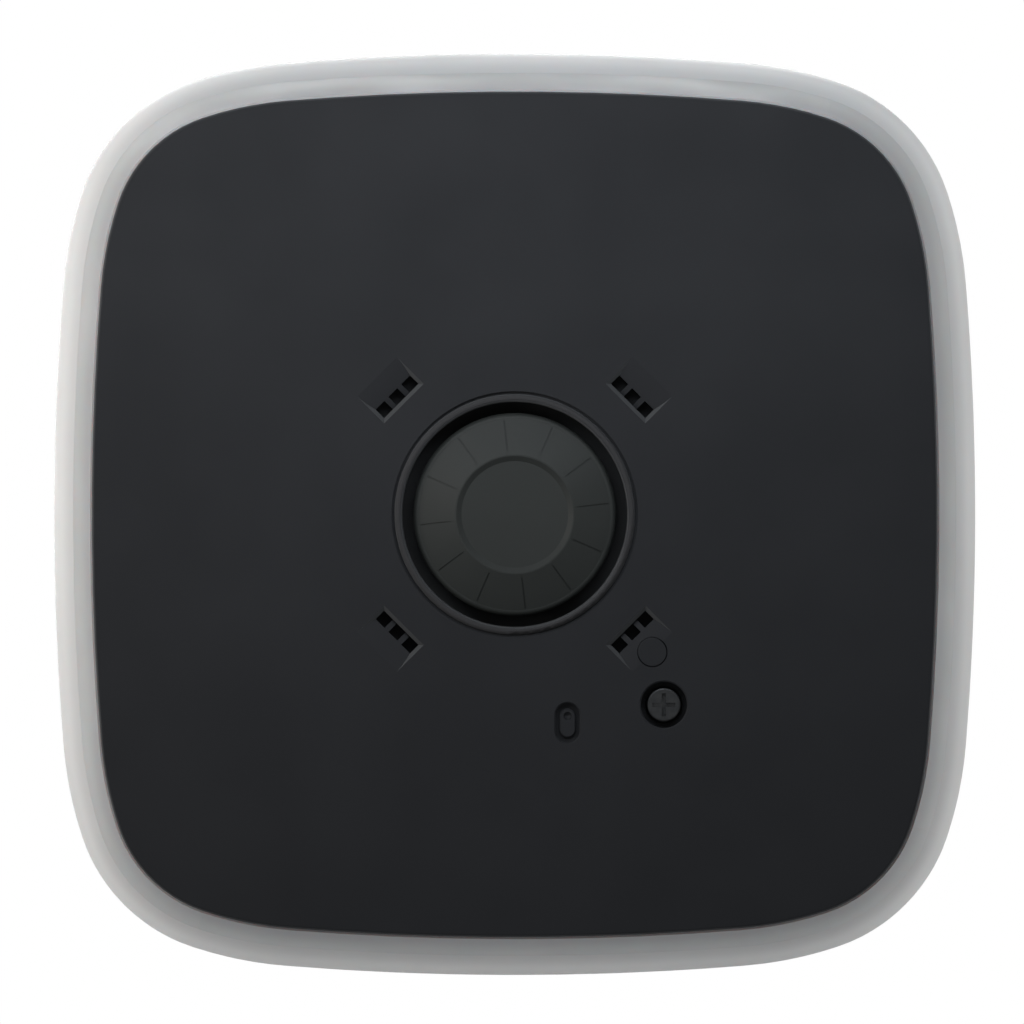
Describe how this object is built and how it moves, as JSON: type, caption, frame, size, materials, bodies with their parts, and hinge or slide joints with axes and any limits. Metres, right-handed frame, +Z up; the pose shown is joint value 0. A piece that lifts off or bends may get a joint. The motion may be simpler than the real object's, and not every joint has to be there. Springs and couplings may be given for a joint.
{
  "type": "outdoor alarm siren",
  "caption": "Wall-hung outdoor alarm siren: rounded-square pale cover, frosted light band, and a dark rear plate with a round sound outlet, bracket pockets, a button and a tamper plunger.",
  "frame": {"origin": "middle of the rear plate, in the plane of its outer face, where the wall bracket's four hooks centre", "axes": "+Y from the wall towards the front, +Z up as it hangs, +X to the right seen from the wall side"},
  "size_m": [0.2, 0.074, 0.2],
  "materials": {
    "pale_cover": "fine moulded satin",
    "frosted_band": "frosted translucent",
    "dark_plastic": "fine moulded satin",
    "frame_plastic": "plain moulded",
    "seal_rubber": "matte",
    "circuit_board": "solder resist",
    "chip_plastic": "moulded",
    "socket_plastic": "moulded",
    "light_package": "clear resin on white",
    "screw_steel": "dark plated",
    "spring_steel": "bright drawn",
    "contact_nickel": "nickel plated",
    "shield_tin": "tin plated",
    "brass": "turned",
    "piezo_ceramic": "silvered",
    "copper_winding": "enamelled wire",
    "capacitor_can": "sleeved can",
    "cell_jacket": "plain metallised jacket",
    "foam": "open foam",
    "wire_red": "insulation",
    "wire_black": "insulation",
    "flex_film": "film"
  },
  "bodies": {
    "siren": {"front_cover": "pale_cover", "light_band": "frosted_band", "rear_housing": "dark_plastic", "rear_seal": "seal_rubber", "front_seal": "seal_rubber", "chassis": "frame_plastic", "deflector": "dark_plastic", "horn_bell": "frame_plastic", "horn_gasket": "seal_rubber", "driver_housing": "frame_plastic", "diaphragm_seal": "seal_rubber", "diaphragm": "brass", "piezo_element": "piezo_ceramic", "driver_leads": "wire_red", "positive_contacts": "contact_nickel", "contact_springs": "contact_nickel", "cell_link": "contact_nickel", "cell_pads": "foam", "battery_lead_positive": "wire_red", "battery_lead_negative": "wire_black", "light_emitters": "light_package", "main_board": "circuit_board", "switch_board": "circuit_board", "flex_sockets": "socket_plastic", "flat_cable": "flex_film", "radio_module": "shield_tin", "boost_coil": "copper_winding", "capacitors": "capacitor_can", "controller_chip": "chip_plastic", "board_headers": "socket_plastic", "antenna": "contact_nickel", "setup_switch": "chip_plastic", "button_boot": "seal_rubber", "tamper_spring": "spring_steel", "tamper_switch": "chip_plastic", "lock_screw": "screw_steel", "lock_insert": "brass", "chassis_screws": "screw_steel", "board_screws": "screw_steel", "switch_board_screws": "screw_steel", "horn_screws": "screw_steel", "cell_lower_left": "cell_jacket", "cell_upper_left": "cell_jacket", "cell_lower_right": "cell_jacket", "cell_upper_right": "cell_jacket", "light_board_right": "circuit_board", "light_board_top": "circuit_board", "light_board_left": "circuit_board", "light_board_bottom": "circuit_board"},
    "setup_button": {"setup_button": "dark_plastic", "setup_actuator": "chip_plastic"},
    "tamper_plunger": {"tamper_plunger": "dark_plastic", "plunger_clip": "spring_steel"},
    "tamper_lever": {"tamper_lever": "spring_steel"}
  },
  "joints": [
    {"name": "setup_press", "type": "slide", "parent": "siren", "child": "setup_button", "axis": [0, 1, 0], "range_m": [0, 0.0005], "stiffness_N_per_m": 2000, "springref_m": -0.0003},
    {"name": "tamper_press", "type": "slide", "parent": "siren", "child": "tamper_plunger", "axis": [0, 1, 0], "range_m": [0, 0.0015], "stiffness_N_per_m": 300, "springref_m": -0.002, "deforming": ["tamper_spring"]},
    {"name": "tamper_lever_pivot", "type": "hinge", "parent": "siren", "child": "tamper_lever", "pos_m": [0.0187, 0.0107, -0.0297], "axis": [0, 0, 1], "range_deg": [0, 8]}
  ],
  "couplings": [
    {"joint": "tamper_lever_pivot", "follows": "tamper_press", "rad_per_m": 90.909}
  ]
}
